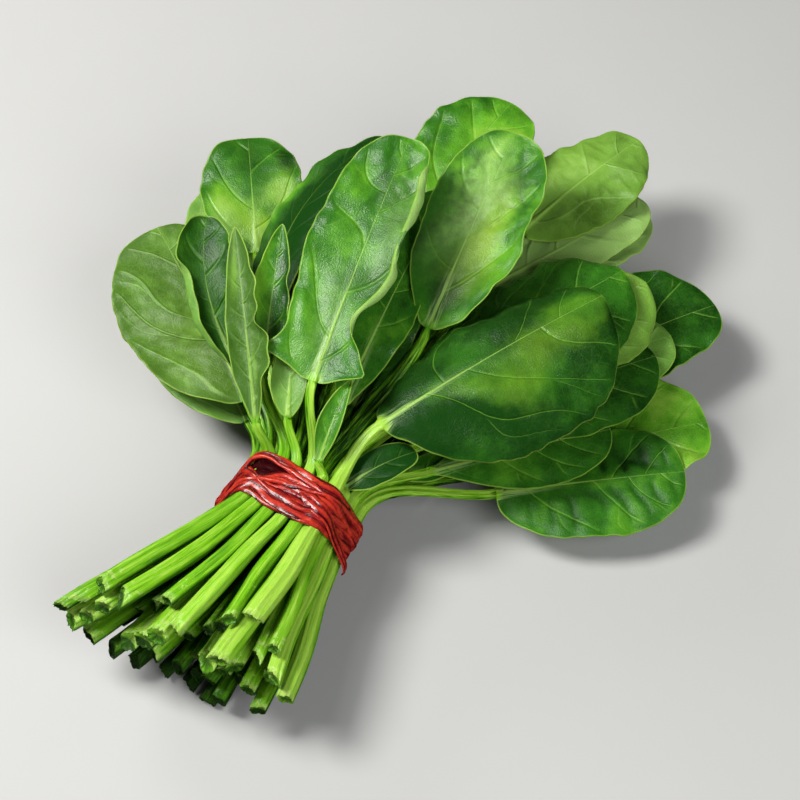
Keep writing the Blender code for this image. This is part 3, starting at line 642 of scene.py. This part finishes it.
def cutEnd(points, facts, seed, count):
    # a torn end: rings that step inwards from the first one, each at its own depth
    dice = np.random.default_rng(seed + 900)
    first = points[0]
    middle = first.mean(axis=0)
    back = unit(middle - points[1].mean(axis=0))
    lean = dice.normal(size=3)
    lean = cutLook["slant"] * (lean - back * (lean @ back))
    turn = np.linspace(0, 2 * math.pi, len(first), endpoint=False)
    teeth = 0
    for height, number in ((0.6, 3), (0.5, 7), (0.5, 13)):
        teeth = teeth + height * np.sin(number * turn + dice.uniform(0, 6))
    caps, marks = [], []
    for scale in np.linspace(cutLook["inner"], cutLook["outer"], count):
        rough = teeth * scale**3 + 0.5 * dice.uniform(-0.5, 0.5, len(first))
        ring = middle + (first - middle) * scale
        depth = cutLook["ragged"] * rough - cutLook["hollow"] * (1 - scale**3) + (ring - middle) @ lean
        caps.append(ring + back * depth[:, None])
        marks.append(1.8 * scale**3 - 0.8)  # below 0 in the hollow middle, above it near the edge
    marks.append(0.6)
    tilted = (first - middle) @ lean + 0.5 * cutLook["ragged"] * teeth
    slanted = first + back * np.clip(tilted, -cutLook["mostSlant"], cutLook["mostSlant"])[:, None]
    points = np.concatenate([np.array(caps), slanted[None], points[1:]])
    for name, value in facts.items():
        facts[name] = np.concatenate([np.repeat(value[:1], count, axis=0), value])
    facts["leafEnd"][: count + 1, :, 0] = np.array(marks)[:, None]
    return points, facts


def meshOf(name, points, facts):
    rings, around = points.shape[:2]
    index = np.arange(rings * around).reshape(rings, around)
    right = np.roll(index, -1, axis=1)
    quads = np.stack([index[:-1], index[1:], right[1:], right[:-1]], axis=-1).reshape(-1, 4)
    faces = quads.tolist() + [index[0].tolist(), index[-1][::-1].tolist()]
    data = bpy.data.meshes.new(name)
    data.from_pydata(points.reshape(-1, 3).tolist(), [], faces)
    for key, values in facts.items():
        made = data.attributes.new(key, "FLOAT_VECTOR", "POINT")
        made.data.foreach_set("vector", values.reshape(-1).astype(np.float32))
    data.shade_smooth()
    return data


def makeLeaves(material):
    rows = bunch["rows"]
    slots = [(row, column) for row in reversed(range(len(rows))) for column in range(rows[row])]
    for number, (row, column) in enumerate(slots, 1):
        leaf = leaves.get((row, column)) or hiddenLeaf(row, column)
        fine = detailOf(leaf)
        grid = gridOf(row, column, leaf, fine)
        points, facts = cutEnd(leafPoints(leaf, grid), leafFacts(leaf, grid), grid.seed, fine["cut"])
        data = meshOf(f"spinach_{number:02d}", points + tieSpot, facts)
        data.materials.append(material)
        piece = bpy.data.objects.new(f"spinach_{number:02d}", data)
        bpy.context.scene.collection.objects.link(piece)
        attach(piece, "root")
        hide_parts(f"leaf_{number:02d}")
    print("leaves made:", len(slots))


class Wire:
    # a node's output; sums and products of wires add Math nodes
    def __init__(self, tree, socket=None):
        self.tree = tree
        self.socket = socket

    def node(self, kind, settings=None, sockets=None, out=0):
        made = self.tree.nodes.new(kind)
        for name, value in (settings or {}).items():
            if name == "stops":
                ramp = made.color_ramp
                for _ in range(len(value) - 2):
                    ramp.elements.new(0.5)
                for element, (place, shade) in zip(ramp.elements, value):
                    element.position = place
                    element.color = (*shade, 1)
            else:
                setattr(made, name, value)
        for name, value in (sockets or {}).items():
            if isinstance(value, Wire):
                self.tree.links.new(value.socket, made.inputs[name])
            else:
                made.inputs[name].default_value = value
        return Wire(self.tree, made.outputs[out])

    def maths(self, operation, *values):
        return self.node("ShaderNodeMath", {"operation": operation}, dict(enumerate(values)))

    def __add__(self, other):
        return self.maths("ADD", self, other)

    def __radd__(self, other):
        return self.maths("ADD", other, self)

    def __sub__(self, other):
        return self.maths("SUBTRACT", self, other)

    def __rsub__(self, other):
        return self.maths("SUBTRACT", other, self)

    def __mul__(self, other):
        return self.maths("MULTIPLY", self, other)

    def __rmul__(self, other):
        return self.maths("MULTIPLY", other, self)

    def __truediv__(self, other):
        return self.maths("DIVIDE", self, other)

    def __rtruediv__(self, other):
        return self.maths("DIVIDE", other, self)

    def __abs__(self):
        return self.maths("ABSOLUTE", self)

    def step(self, low, high):
        # 0 below low, 1 above high, and smooth between
        settings = {"interpolation_type": "SMOOTHSTEP"}
        return self.node("ShaderNodeMapRange", settings, {"Value": self, "From Min": low, "From Max": high})

    def mix(self, first, second):
        # two colours mixed by this mask
        return self.node("ShaderNodeMix", {"data_type": "RGBA"}, {"Factor": self, 6: first, 7: second}, out=2)

    def part(self, name):
        return self.node("ShaderNodeSeparateXYZ", {}, {"Vector": self}, out=name)


def colour(red, green, blue):
    return (red, green, blue, 1)


def emptyMaterial(name):
    made = bpy.data.materials.new(name)
    made.use_nodes = True
    made.node_tree.nodes.clear()
    return made, Wire(made.node_tree)


def finishMaterial(wire, shader):
    output = wire.tree.nodes.new("ShaderNodeOutputMaterial")
    wire.tree.links.new(shader.socket, output.inputs["Surface"])


leafLook = dict(
    deep=(0.006, 0.040, 0.004),
    green=(0.024, 0.125, 0.008),
    bright=(0.100, 0.310, 0.016),
    pale=(0.220, 0.430, 0.045),
    yellow=colour(0.210, 0.340, 0.018),
    bloom=colour(0.300, 0.470, 0.150),
    underDeep=colour(0.030, 0.100, 0.012),
    under=colour(0.125, 0.285, 0.040),
    underPale=colour(0.260, 0.440, 0.110),
    vein=colour(0.190, 0.400, 0.045),
    rib=colour(0.330, 0.540, 0.100),
    rim=colour(0.300, 0.480, 0.060),
    stalkDark=(0.008, 0.030, 0.003),
    stalkDeep=(0.065, 0.220, 0.006),
    stalk=(0.150, 0.385, 0.009),
    stalkPale=(0.300, 0.520, 0.055),
    cut=colour(0.380, 0.540, 0.130),
    cutShade=colour(0.025, 0.070, 0.010),
    veinWidth=0.34,  # mm, at the rib
    veinThins=0.007,  # for each mm from it
    roughness=0.30,
    specular=0.32,
    subsurface=0.18,
    bump=0.85,
    # heights of the bumps, in mm: the blade's, then the stalk's
    bumps=dict(vein=0.38, fork=0.20, net=0.05, smallNet=0.03, fine=0.22, mottled=0.12),
    stalkBumps=dict(streak=0.34, fibre=0.18, fine=0.05, cut=0.6),
)


def leafInputs(w):
    # what each point of a leaf knows about itself, and the noises
    def read(name):
        fact = w.node("ShaderNodeAttribute", {"attribute_name": name}, out="Vector")
        return fact.part("X"), fact.part("Y"), fact.part("Z")

    def noise(scale, detail=3.0, place=None):
        return w.node("ShaderNodeTexNoise", {}, {"Vector": place or n.spot, "Scale": scale, "Detail": detail})

    def cells(scale):
        settings = {"feature": "DISTANCE_TO_EDGE"}
        return w.node("ShaderNodeTexVoronoi", settings, {"Vector": warped, "Scale": scale})

    n = SimpleNamespace()
    n.spot = w.node("ShaderNodeAttribute", {"attribute_name": "leafSpot"}, out="Vector")
    n.far = n.spot.part("X")
    n.phase, n.pace, n.rim = read("leafVein")
    n.forked, n.forking, n.across = read("leafFork")
    n.onStalk, n.ribRadius, n.topSide = read("leafForm")
    n.light, n.yellow, n.stalkTone = read("leafTone")
    n.cut, n.share, n.veined = read("leafEnd")
    # the last two are a blade's matte and its painted sheen; on a stalk, how near the blade is and if it is
    # past the tie
    n.dull, n.matteOrNear, n.bloomOrNeck = read("leafSkin")
    n.broad, n.patchy, n.mottled, n.fine = noise(0.045), noise(0.16), noise(0.5), noise(1.5)
    stretched = w.node("ShaderNodeMapping", {}, {"Vector": n.spot, "Scale": (0.05, 1.0, 1.0)})
    n.streak, n.fibre = noise(0.8, 3.0, stretched), noise(3.0, 2.0, stretched)
    shift = w.node("ShaderNodeTexNoise", {}, {"Vector": n.spot, "Scale": 0.35, "Detail": 2.0}, out="Color")
    shift = w.node("ShaderNodeVectorMath", {"operation": "SCALE"}, {0: shift, "Scale": 2.2})
    warped = w.node("ShaderNodeVectorMath", {"operation": "ADD"}, {0: n.spot, 1: shift})
    n.net, n.smallNet = cells(0.26), cells(0.8)
    return n


def leafVeins(w, n):
    # mm to the nearest side vein and to the nearest fork of one, and the lines that all the veins draw
    n.offVein = abs(w.maths("FRACT", n.phase + 0.5 + 0.03 * n.mottled) - 0.5) * n.pace
    n.offFork = abs(w.maths("FRACT", n.forked + 0.5 + 0.03 * n.mottled) - 0.5) * n.pace
    thick = leafLook["veinWidth"] - leafLook["veinThins"] * n.across
    n.onSheet = (1 - n.onStalk) * n.rim.step(0.8, 5)
    veinLine = (1 - (n.offVein / thick).step(0.3, 1.4)) * n.onSheet
    forkLine = (1 - (n.offFork / thick).step(0.2, 1.2)) * n.forking.step(0.02, 0.3) * n.onSheet
    n.lines = w.maths("MAXIMUM", veinLine, 0.6 * forkLine)
    n.netLine = (1 - n.net.step(0.01, 0.07)) * n.onSheet
    n.smallLine = (1 - n.smallNet.step(0.02, 0.12)) * n.onSheet


def bladeColour(w, n):
    beside = (1 - n.offVein.step(0.3, 2.6)) * n.onSheet
    cloudy = 0.66 * n.broad + 0.27 * n.patchy + 0.07 * n.mottled
    shade = 0.42 + 1.6 * (cloudy - 0.5) + 0.28 * n.light + 0.05 * beside + 0.24 * (n.fine - 0.5)
    stops = zip((0.0, 0.42, 0.78, 1.0), (leafLook[name] for name in ("deep", "green", "bright", "pale")))
    upper = w.node("ShaderNodeValToRGB", {"stops": list(stops)}, {"Fac": shade})
    upper = (0.75 * (n.yellow + 0.4 * (n.patchy - 0.5)).step(0.0, 1.1)).mix(upper, leafLook["yellow"])
    # painted sheen: pale patches painted where the blade would shine
    upper = (n.bloomOrNeck * (0.5 * n.patchy + 0.8 * n.mottled)).mix(upper, leafLook["bloom"])
    # pale streaks beside the rib, near the stalk, in the painted sheen's pale colour
    besideRib = (1 - (n.across / n.ribRadius).step(0.8, 3.0)) * (n.streak + 0.5 * n.fibre).step(0.65, 0.85)
    upper = (besideRib * (0.8 - 1.6 * n.share).step(0.0, 1.0)).mix(upper, leafLook["bloom"])
    plain = n.veined * (1 - 0.8 * n.matteOrNear)
    upper = (plain * (0.05 * n.netLine + 0.03 * n.smallLine)).mix(upper, leafLook["vein"])
    upper = (n.veined * (0.15 + 0.5 * n.patchy) * n.lines).mix(upper, leafLook["vein"])

    lower = shade.step(-0.15, 0.5).mix(leafLook["underDeep"], leafLook["under"])
    lower = (shade + 0.15 * (n.patchy - 0.5)).step(0.45, 0.95).mix(lower, leafLook["underPale"])
    lower = (0.5 * n.yellow).mix(lower, leafLook["yellow"])
    lower = (0.10 * n.netLine + 0.05 * n.smallLine).mix(lower, leafLook["underPale"])
    lower = (n.veined * (0.25 + 0.5 * n.patchy) * n.lines).mix(lower, leafLook["underPale"])

    rib = (1 - (n.across / n.ribRadius + 0.3 * n.topSide).step(0.5, 1.0)) * (1 - n.onStalk)
    margin = (1 - n.rim.step(0.12, 0.7)) * (1 - n.onStalk)
    painted = (0.6 * margin).mix(n.topSide.mix(lower, upper), leafLook["rim"])
    return (rib * (0.4 + 0.6 * n.veined) * (0.85 - 0.60 * n.share)).mix(painted, leafLook["rib"])


def stalkColour(w, n):
    onNeck = n.bloomOrNeck * n.onStalk
    # the tone takes in the stalks' painted shade and painted light
    tone = 0.66 + 1.2 * (n.streak - 0.5) + 0.7 * (n.fibre - 0.5) + 0.5 * (n.broad - 0.5) + 0.16 * n.stalkTone
    tone = tone + 0.22 * n.matteOrNear + onNeck * (1.6 * (n.streak - 0.5) + 1.2 * (n.fibre - 0.5))
    names = ("stalkDark", "stalkDeep", "stalk", "stalkPale")
    stops = list(zip((0.0, 0.35, 0.65, 1.0), (leafLook[name] for name in names)))
    stalk = w.node("ShaderNodeValToRGB", {"stops": stops}, {"Fac": tone})
    # the torn ends take painted shade where the stalk is painted in shade
    torn = (1 + 0.45 * n.stalkTone).step(0.0, 0.8).mix(leafLook["cutShade"], leafLook["cut"])
    crushed = n.mottled + 0.6 * n.patchy - 0.3 * w.maths("MINIMUM", n.far * 0.03, 1.0)
    stalk = (0.6 * crushed.step(0.84, 0.92)).mix(stalk, torn)
    rough = (n.fine + 0.3 * n.mottled).step(0.4, 0.8)
    stalk = (n.cut.step(0, 1) * (0.2 + 0.8 * rough)).mix(stalk, torn)
    # painted shade in the hollow middle of each cut end
    return (0.6 * (1 - n.cut.step(-0.7, 0))).mix(stalk, leafLook["cutShade"])


def leafBump(w, n):
    bumps = leafLook["bumps"]
    forks = bumps["fork"] * (n.offFork / 0.9).step(0.0, 1.0) * n.forking
    veins = (2 * n.topSide - 1) * (bumps["vein"] * (n.offVein / 1.1).step(0.0, 1.0) + forks)
    nets = bumps["net"] * n.net.step(0.0, 0.35) * (n.topSide - 0.3)
    nets = nets + bumps["smallNet"] * n.smallNet.step(0.0, 0.3)
    onBlade = veins * n.onSheet + nets + bumps["fine"] * n.fine + bumps["mottled"] * n.mottled
    onBlade = onBlade * (1 - n.onStalk) * (1 + 4 * w.maths("MINIMUM", n.dull, 0))  # a smooth leaf has less
    bumps = leafLook["stalkBumps"]
    onStalk = bumps["streak"] * n.streak + bumps["fibre"] * n.fibre
    onStalk = onStalk + bumps["fine"] * n.fine + abs(n.cut) * bumps["cut"] * n.fine
    height = onBlade + onStalk * n.onStalk
    sockets = {"Height": height, "Distance": 0.001, "Strength": leafLook["bump"]}
    return w.node("ShaderNodeBump", {}, sockets)


def leafMaterial():
    made, w = emptyMaterial("spinach_leaf")
    n = leafInputs(w)
    leafVeins(w, n)
    base = n.onStalk.mix(bladeColour(w, n), stalkColour(w, n))
    bump = leafBump(w, n)
    rough = leafLook["roughness"] + 0.20 * (n.mottled - 0.5) + 0.12 * (1 - n.topSide) + 0.04 * n.lines
    rough = rough + 0.15 * (1 - n.veined) + n.dull
    sockets = {
        "Base Color": base,
        "Roughness": rough,
        "Normal": bump,
        "Subsurface Weight": leafLook["subsurface"],
        "Subsurface Radius": (0.5, 1.0, 0.15),
        "Subsurface Scale": 0.0010,
        "Specular IOR Level": leafLook["specular"],
    }
    glossy = w.node("ShaderNodeBsdfPrincipled", {"subsurface_method": "RANDOM_WALK"}, sockets)
    sockets = {"Base Color": base, "Normal": bump, "Roughness": 1.0, "Specular IOR Level": 0.0}
    flat = w.node("ShaderNodeBsdfPrincipled", {}, sockets)
    matte = n.matteOrNear * (1 - n.onStalk)
    finishMaterial(w, w.node("ShaderNodeMixShader", {}, {0: matte, 1: glossy, 2: flat}))
    return made


makeLeaves(leafMaterial())

# the ribbon goes round the stalks in several turns, which meet at the upper left and fan out to the right
ribbon = dict(
    stationStep=2.0,  # degrees round the tie
    around=32,
    thick=1.7 * mm,
    foldWidth=3.2 * mm,
    foldDepth=0.7,
    foldStray=1.1,  # how far the folds wander across a turn, in radians
    fineFolds=0.15,  # the share of the finer folds between them
    fullness=0.8,  # below 1, the folds and the edges are blunter
    crumple=0.28 * mm,
    soften=(3, 2),  # stations over which the turns' places, and then their points, are evened out
    pinch=dict(at=60, reach=16, depth=0.35),  # the turns are narrower there
    off=0.35 * mm,  # from the stalks to the middle of each turn, before its own lift
    twist=0.30,  # how far the turns lean to one side and the other, in radians
    uneven=0.14,  # of their width, as a share
    # where the turns' places across the tie are given, in degrees from the +Y side over the top
    angles=(-60, -20, 0, 15, 35, 50, 62, 80, 110, 140, 170, 190, 215, 260),
    # wide, lift and across are in mm; folds: its share of foldDepth; paintedShade: it lies under the others
    # and is painted in shadow
    turns=(
        dict(wide=11.0, lift=-0.3, paintedShade=1, across=(-3, -6, -5, -2, 1, 2.6, 3, 2, -2, -2, -2, -2, -2, -2)),
        dict(wide=9.0, lift=-0.4, paintedShade=1, across=(-3, -7, -8, -5, -2, -2, -2, -5, -7, -6, -5, -4, -3, -2)),
        dict(wide=5.0, lift=1.2, folds=0.5, across=(-3, -7, -5, -1, 5, 8, 8, 6.8, 4.4, 3.6, 2.8, 2, 0, -2)),
        dict(wide=3.6, lift=0.6, across=(-4, -8, -6.5, -3, 0, -1.6, -1.8, 3.0, 1.8, 1.2, 0.8, 0, -1, -3)),
        dict(wide=3.4, lift=1.0, across=(-5, -9, -8, -5, 1, -2.0, -2.6, 0.2, -1.2, -1.2, -1.2, -2, -3, -4)),
        dict(wide=3.8, lift=0.7, across=(-2, -6, -4, 0, 3, 0, -3.2, -2.6, -4.0, -3.6, -3.2, -4, -4, -3)),
        dict(wide=4.4, lift=1.1, across=(-6, -10, -9, -6, -2, -2.4, -4.2, -5.6, -6.8, -6, -5.4, -5, -5, -5)),
        dict(wide=6.4, lift=1.0, folds=0.3,
             across=(-7, -9, -10, -9.4, -8, -6, -5.4, -8.4, -10.2, -9, -7.6, -7, -6, -6)),
        dict(wide=3.0, lift=0.3,
             across=(-5, -8, -9, -9.6, -9.6, -9, -9, -11, -12.4, -10.8, -8.4, -6.6, -5, -4)),
        dict(wide=2.6, lift=1.9, across=(-4, -8, -9.5, -8, -1, 6.6, 7.0, 5.6, 2.6, -0.4, -3.0, -4, -4, -3)),
        dict(wide=2.2, lift=1.8, across=(-5, -7, -8, -9, -8, -5.0, -3.0, -1.0, 0.2, 2.2, 2.6, 1, -1, -3)),
        dict(wide=2.6, lift=1.7, across=(-3, -5, -6, -3, 2, -0.8, -3.4, -6.6, -7.8, -4.4, -1.0, -1, -2, -2)),
        dict(wide=7.5, lift=2.2, span=(100, 182),
             across=(-3, -7, -5, -1, 4, 7, 3, 1, -3, -8.5, -14.5, -16, -16, -16)),
    ),
)


def tieOutline(angles, across):
    # points round the stack of stalks at these angles and places across the tie, and the way out from each
    stack = [slotOf(row, column)[1:] for row, count in enumerate(bunch["rows"]) for column in range(count)]
    stack = np.array(stack) - (0, tieHeight)
    turn = np.radians(np.arange(0, 360, 1.5))
    out = np.stack([np.cos(turn), np.sin(turn)], axis=-1)
    edge = stack[np.argmax(out @ stack.T, axis=1)] + out * bunch["tieRadius"]
    around = np.degrees(np.arctan2(edge[:, 1], edge[:, 0]))
    y, z, outY, outZ = (np.interp(angles, around, part, period=360) for part in (*edge.T, *out.T))
    grown = (np.clip(-across - bunch["tieHalf"], 0, None) / bunch["footLength"]) ** bunch["footBend"]
    y = y * (1 + bunch["footSpread"] * grown) + bunch["footSwing"] * grown
    z = z * (1 + bunch["footRise"] * grown) + tieHeight
    return np.stack([across, y, z], axis=-1), np.stack([0 * y, outY, outZ], axis=-1)


def softened(values, reach, closed):
    # a running mean, round the loop or up to the ends
    padded = np.pad(values, reach, mode="wrap" if closed else "edge")
    return np.convolve(padded, np.ones(2 * reach + 1) / (2 * reach + 1), mode="valid")


def strandMesh(number, turn):
    closed = "span" not in turn
    start, end = turn.get("span", (0, 360))
    count = int((end - start) / ribbon["stationStep"])
    angles = np.linspace(start, end, count, endpoint=not closed)
    share = (angles - start) / (end - start)
    loop = 2 * math.pi * angles / 360
    across = np.interp(angles, ribbon["angles"], turn["across"], period=360)
    across = softened(across, ribbon["soften"][0], closed) * mm
    noiseX, noiseY = 5 * np.cos(loop), 5 * np.sin(loop)
    across = across + ribbon["crumple"] * swell(noiseX, noiseY, 40 + number)
    points, out = tieOutline(angles, across)
    lift = turn["lift"] * mm + 0.6 * ribbon["crumple"] * swell(1.3 * noiseX, 1.3 * noiseY, 60 + number)
    points = points + out * (lift + ribbon["off"])[:, None]
    for axis in (1, 2):
        points[:, axis] = softened(points[:, axis], ribbon["soften"][1], closed)
    along = np.roll(points, -1, axis=0) - np.roll(points, 1, axis=0)
    if not closed:
        along = np.gradient(points, axis=0)
    along /= np.linalg.norm(along, axis=1)[:, None]
    side = np.cross(along, out)
    side /= np.linalg.norm(side, axis=1)[:, None]
    out = np.cross(side, along)
    roll = ribbon["twist"] * swell(0.6 * noiseX, 0.6 * noiseY, 80 + number)[:, None]
    side, out = side * np.cos(roll) + out * np.sin(roll), out * np.cos(roll) - side * np.sin(roll)
    around = np.linspace(0, 2 * math.pi, ribbon["around"], endpoint=False)[None, :]
    wide = turn["wide"] * mm / 2 * (1 + ribbon["uneven"] * swell(0.8 * noiseX, 0.8 * noiseY, 20 + number))
    pinch = ribbon["pinch"]
    if "paintedShade" not in turn:
        wide = wide * (1 - pinch["depth"] * np.exp(-(((angles - pinch["at"]) / pinch["reach"]) ** 2)))
    thick = ribbon["thick"] / 2 * np.ones(count)
    if not closed:
        taper = np.sqrt(np.clip(1.02 - share, 0, 1)) * smooth(share, -0.02, 0.2)
        wide, thick = wide * taper, thick * (0.3 + 0.7 * taper)
    flat = np.cos(around)
    drift = ribbon["foldStray"] * swell(0.5 * noiseX, 0.5 * noiseY, 30 + number)[:, None]
    folds = turn["wide"] * mm / ribbon["foldWidth"]
    fold = np.abs(np.sin(math.pi * folds * (flat + 1) / 2 + drift)) ** ribbon["fullness"]
    fine = np.abs(np.sin(2.3 * math.pi * folds * flat + 2.6 * drift + number))
    fold = (1 - ribbon["fineFolds"]) * fold + ribbon["fineFolds"] * fine
    depth = turn.get("folds", 1) * ribbon["foldDepth"]
    bulge = np.sin(around) * (1 - depth * (1 - fold) * (np.sin(around) > 0.05))
    bulge = np.sign(bulge) * np.abs(bulge) ** ribbon["fullness"]
    shape = points[:, None, :] + side[:, None, :] * (wide[:, None] * flat)[:, :, None]
    shape = shape + out[:, None, :] * (thick[:, None] * bulge)[:, :, None]
    far = np.concatenate([[0], np.cumsum(np.linalg.norm(np.diff(points, axis=0), axis=1))])[:, None]
    spot = (far / mm, wide[:, None] / mm * flat, 30.0 * number + 0 * far)
    spot = [np.broadcast_to(part, fold.shape) for part in spot]
    facts = dict(
        ribbonSpot=np.stack(spot, axis=-1),
        ribbonFold=np.stack([fold, 0 * fold + turn.get("paintedShade", 0), 0 * fold], axis=-1),
    )
    return shape, facts, closed


def loopFaces(rings, around, closed, first):
    index = first + np.arange(rings * around).reshape(rings, around)
    ahead = np.roll(index, -1, axis=0) if closed else index[1:]
    here = index if closed else index[:-1]
    quads = [here, np.roll(here, -1, axis=1), np.roll(ahead, -1, axis=1), ahead]
    quads = np.stack(quads, axis=-1).reshape(-1, 4)
    ends = [] if closed else [index[0][::-1].tolist(), index[-1].tolist()]
    return quads.tolist() + ends


def makeRibbon(material):
    points, faces, facts = [], [], []
    for number, turn in enumerate(ribbon["turns"]):
        shape, fact, closed = strandMesh(number, turn)
        faces += loopFaces(*shape.shape[:2], closed, sum(len(part) for part in points))
        points.append(shape.reshape(-1, 3))
        facts.append(fact)
    data = bpy.data.meshes.new("tie")
    data.from_pydata((np.concatenate(points) + tieSpot).tolist(), [], faces)
    for key in facts[0]:
        made = data.attributes.new(key, "FLOAT_VECTOR", "POINT")
        values = np.concatenate([fact[key].reshape(-1) for fact in facts])
        made.data.foreach_set("vector", values.astype(np.float32))
    data.shade_smooth()
    data.materials.append(material)
    piece = bpy.data.objects.new("tie", data)
    bpy.context.scene.collection.objects.link(piece)
    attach(piece, "root")
    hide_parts("tie_ribbon")
    print("ribbon made:", len(ribbon["turns"]), "turns")


ribbonLook = dict(
    red=colour(0.210, 0.008, 0.008),
    # bright: partly the ribbon's own streaks, partly a painted highlight on the ridges
    bright=colour(0.480, 0.034, 0.016),
    # paintedShade: painted shade in the creases; paintedShadow: the colour of the turns painted in shadow
    paintedShade=colour(0.022, 0.001, 0.003),
    paintedShadow=colour(0.010, 0.001, 0.002),
    roughness=0.28,
    specular=0.32,
    coat=0.32,
    coatRoughness=0.24,
    shadow=0.95,  # how strongly the turns that lie under the others are painted in shadow
)


def ribbonMaterial():
    made, w = emptyMaterial("red_ribbon")
    spot = w.node("ShaderNodeAttribute", {"attribute_name": "ribbonSpot"}, out="Vector")
    form = w.node("ShaderNodeAttribute", {"attribute_name": "ribbonFold"}, out="Vector")
    fold, paintedShade = form.part("X"), form.part("Y")
    stretched = w.node("ShaderNodeMapping", {}, {"Vector": spot, "Scale": (0.05, 1.0, 1.0)})
    streak = w.node("ShaderNodeTexNoise", {}, {"Vector": stretched, "Scale": 0.7, "Detail": 3.0})
    fibre = w.node("ShaderNodeTexNoise", {}, {"Vector": stretched, "Scale": 4.0, "Detail": 2.0})
    crumple = w.node("ShaderNodeTexNoise", {}, {"Vector": spot, "Scale": 0.55, "Detail": 3.0})
    # painted shade in the folds' creases, along with random streaks
    base = (fold + 0.9 * (streak - 0.5)).step(0.15, 0.75).mix(ribbonLook["paintedShade"], ribbonLook["red"])
    # bright patches: partly random streaks and crumples, partly a painted highlight on the ridges of the
    # folds
    base = (0.5 * streak + 0.4 * crumple + 0.3 * fold).step(0.58, 0.85).mix(base, ribbonLook["bright"])
    height = 0.30 * streak + 0.06 * fibre + 0.30 * crumple
    bump = w.node("ShaderNodeBump", {}, {"Height": height, "Distance": 0.001, "Strength": 0.9})
    sockets = {
        "Base Color": base,
        "Roughness": ribbonLook["roughness"] + 0.2 * (crumple - 0.5),
        "Normal": bump,
        "Coat Weight": ribbonLook["coat"],
        "Coat Roughness": ribbonLook["coatRoughness"],
        "Specular IOR Level": ribbonLook["specular"],
    }
    glossy = w.node("ShaderNodeBsdfPrincipled", {}, sockets)
    # the turns painted in shadow get a flat, almost black finish
    sockets = {"Base Color": ribbonLook["paintedShadow"], "Roughness": 1.0, "Specular IOR Level": 0.0}
    flat = w.node("ShaderNodeBsdfPrincipled", {}, sockets)
    finishMaterial(w, w.node("ShaderNodeMixShader", {}, {0: ribbonLook["shadow"] * paintedShade, 1: glossy, 2: flat}))
    return made


makeRibbon(ribbonMaterial())

studio = dict(
    floor=colour(0.42, 0.42, 0.415),
    grain=colour(0.35, 0.35, 0.345),
    floorSize=12,  # half its side, in metres
    floorGap=0.2 * mm,
    world=0.05,
    # only the lamps with a gloss show in the shiny surfaces
    key=dict(spot=(-0.25, 0.58, 0.98), size=0.40, power=17, gloss=True, tint=(1.0, 0.99, 0.96)),
    top=dict(spot=(-0.16, 0.35, 1.12), size=0.28, power=1.8, gloss=True, tint=(1.0, 1.0, 1.0)),
    side=dict(spot=(0.45, 1.00, 0.60), size=0.5, power=5, gloss=False, tint=(1.0, 0.98, 0.93)),
    fill=dict(spot=(-0.45, -0.85, 0.80), size=0.9, power=10.5, gloss=False, tint=(0.99, 1.0, 1.0)),
)


def makeStudio():
    made, w = emptyMaterial("pale_floor")
    place = w.node("ShaderNodeTexCoord", out="Object")
    grain = w.node("ShaderNodeTexNoise", {}, {"Vector": place, "Scale": 30.0, "Detail": 4.0})
    pale = (0.15 * grain).mix(studio["floor"], studio["grain"])
    finishMaterial(w, w.node("ShaderNodeBsdfPrincipled", {}, {"Base Color": pale, "Roughness": 0.8}))
    data = bpy.data.meshes.new("floor")
    size = studio["floorSize"]
    corners = [(-size, -size, 0), (size, -size, 0), (size, size, 0), (-size, size, 0)]
    data.from_pydata(corners, [], [(0, 1, 2, 3)])
    data.materials.append(made)
    floor = bpy.data.objects.new("floor", data)
    floor.location.z = -studio["floorGap"]
    floor.visible_glossy = False
    bpy.context.scene.collection.objects.link(floor)
    world = bpy.data.worlds.new("studio")
    world.use_nodes = True
    world.node_tree.nodes["Background"].inputs["Color"].default_value = (1.0, 1.0, 1.0, 1)
    world.node_tree.nodes["Background"].inputs["Strength"].default_value = studio["world"]
    world.cycles_visibility.glossy = False
    bpy.context.scene.world = world
    for name in ("key", "top", "side", "fill"):
        lamp = studio[name]
        light = bpy.data.lights.new(name, "AREA")
        light.shape = "DISK"
        light.size = lamp["size"]
        light.energy = lamp["power"]
        light.color = lamp["tint"]
        holder = bpy.data.objects.new(name, light)
        holder.location = lamp["spot"]
        holder.visible_glossy = lamp["gloss"]
        holder.rotation_euler = (-Vector(lamp["spot"])).to_track_quat("-Z", "Y").to_euler()
        bpy.context.scene.collection.objects.link(holder)
    bpy.context.scene.view_settings.view_transform = "Standard"
    print("studio made")


makeStudio()
